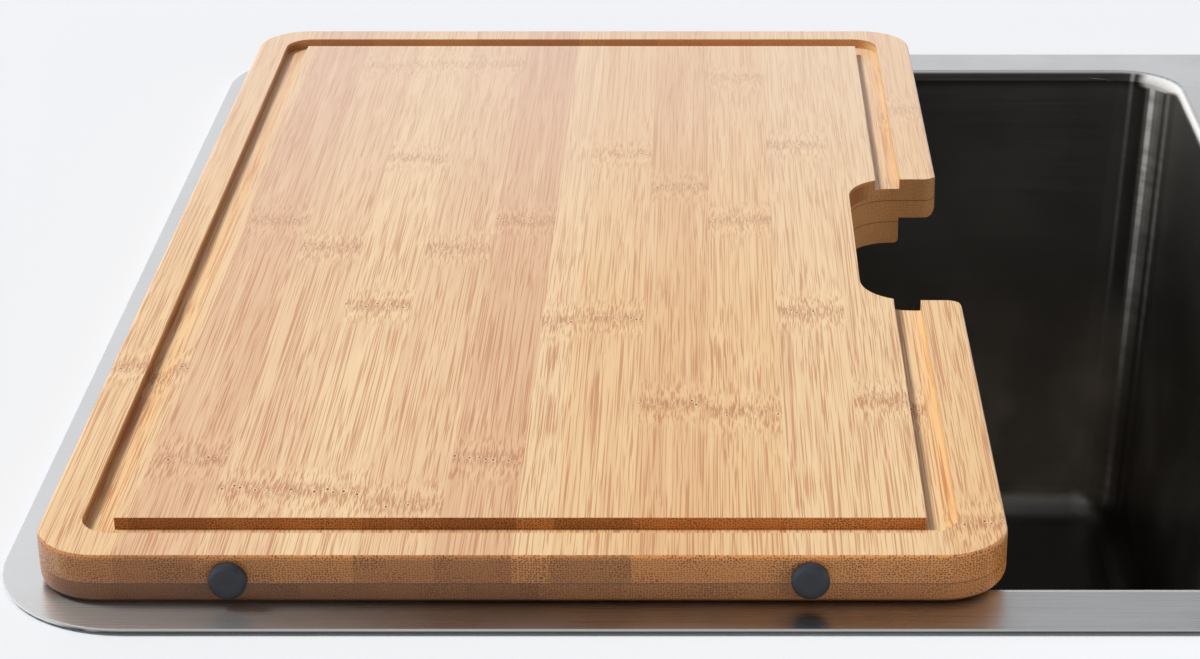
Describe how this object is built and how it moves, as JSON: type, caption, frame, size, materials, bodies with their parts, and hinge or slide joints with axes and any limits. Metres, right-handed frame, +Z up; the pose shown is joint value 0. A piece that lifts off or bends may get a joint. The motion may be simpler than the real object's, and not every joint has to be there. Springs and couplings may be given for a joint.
{
  "type": "inset kitchen sink with sliding cutting board",
  "caption": "Inset kitchen sink: flat rim, drawn bowl, basket strainer waste, clamps under the worktop and a sliding notched bamboo board.",
  "frame": {"origin": "centre of the bowl, on the surface of the worktop that the sink is set into", "axes": "+X to the right along the short side, +Y to the back along the long side, +Z up out of the bowl"},
  "size_m": [0.41, 0.44, 0.3405],
  "materials": {
    "satin_steel": "fine brushed satin, along X on the rim",
    "polished_steel": "bright polished",
    "zinc_steel": "zinc plated, dull bright",
    "bamboo": "side-pressed bamboo strips, oiled, slight gloss",
    "bamboo_core": "glued bamboo ply, oiled",
    "slate_silicone": "moulded silicone, matt",
    "seal_foam": "closed-cell foam strip, matt",
    "sound_rubber": "heavy pad, matt",
    "black_rubber": "moulded gasket rubber, matt",
    "pale_plastic": "moulded polypropylene, fine satin",
    "grey_plastic": "moulded polypropylene, fine satin",
    "brass": "machined"
  },
  "bodies": {
    "sink": {"sink_bowl": "satin_steel", "rim_seal": "seal_foam", "clip_brackets": "zinc_steel", "clip_screws": "zinc_steel", "sound_pad_right": "sound_rubber", "sound_pad_back": "sound_rubber", "sound_pad_left": "sound_rubber", "sound_pad_front": "sound_rubber", "floor_pad_left": "sound_rubber", "floor_pad_right": "sound_rubber", "strainer_gasket": "black_rubber", "strainer_cup": "polished_steel", "waste_gasket": "black_rubber", "waste_housing": "pale_plastic", "clamp_nut": "brass", "clamp_screw": "polished_steel", "tail_washer": "black_rubber", "tailpiece": "pale_plastic", "coupling_nut": "grey_plastic"},
    "board": {"board_top_ply": "bamboo", "board_middle_ply": "bamboo_core", "board_bottom_ply": "bamboo_core", "board_bumper_left": "slate_silicone", "board_bumper_right": "slate_silicone"},
    "basket": {"basket_cup": "polished_steel", "basket_plug": "black_rubber", "basket_retainer": "polished_steel", "basket_stem": "polished_steel", "basket_knob": "polished_steel"},
    "clip_1": {"clip_arm_1": "zinc_steel"},
    "clip_2": {"clip_arm_2": "zinc_steel"},
    "clip_3": {"clip_arm_3": "zinc_steel"},
    "clip_4": {"clip_arm_4": "zinc_steel"},
    "clip_5": {"clip_arm_5": "zinc_steel"},
    "clip_6": {"clip_arm_6": "zinc_steel"}
  },
  "joints": [
    {"name": "board_slide", "type": "slide", "parent": "sink", "child": "board", "axis": [1, 0, 0], "range_m": [0, 0.112]},
    {"name": "basket_lift", "type": "slide", "parent": "sink", "child": "basket", "axis": [0, 0, 1], "range_m": [0, 0.12]},
    {"name": "clip_swivel_1", "type": "hinge", "parent": "sink", "child": "clip_1", "pos_m": [0.1746, 0.12, -0.034], "axis": [0, 0, 1], "range_deg": [0, 90]},
    {"name": "clip_swivel_2", "type": "hinge", "parent": "sink", "child": "clip_2", "pos_m": [0.1746, -0.12, -0.034], "axis": [0, 0, 1], "range_deg": [0, 90]},
    {"name": "clip_swivel_3", "type": "hinge", "parent": "sink", "child": "clip_3", "pos_m": [0, 0.2046, -0.034], "axis": [0, 0, 1], "range_deg": [0, 90]},
    {"name": "clip_swivel_4", "type": "hinge", "parent": "sink", "child": "clip_4", "pos_m": [-0.1746, -0.12, -0.034], "axis": [0, 0, 1], "range_deg": [0, 90]},
    {"name": "clip_swivel_5", "type": "hinge", "parent": "sink", "child": "clip_5", "pos_m": [-0.1746, 0.12, -0.034], "axis": [0, 0, 1], "range_deg": [0, 90]},
    {"name": "clip_swivel_6", "type": "hinge", "parent": "sink", "child": "clip_6", "pos_m": [0, -0.2046, -0.034], "axis": [0, 0, 1], "range_deg": [0, 90]}
  ]
}
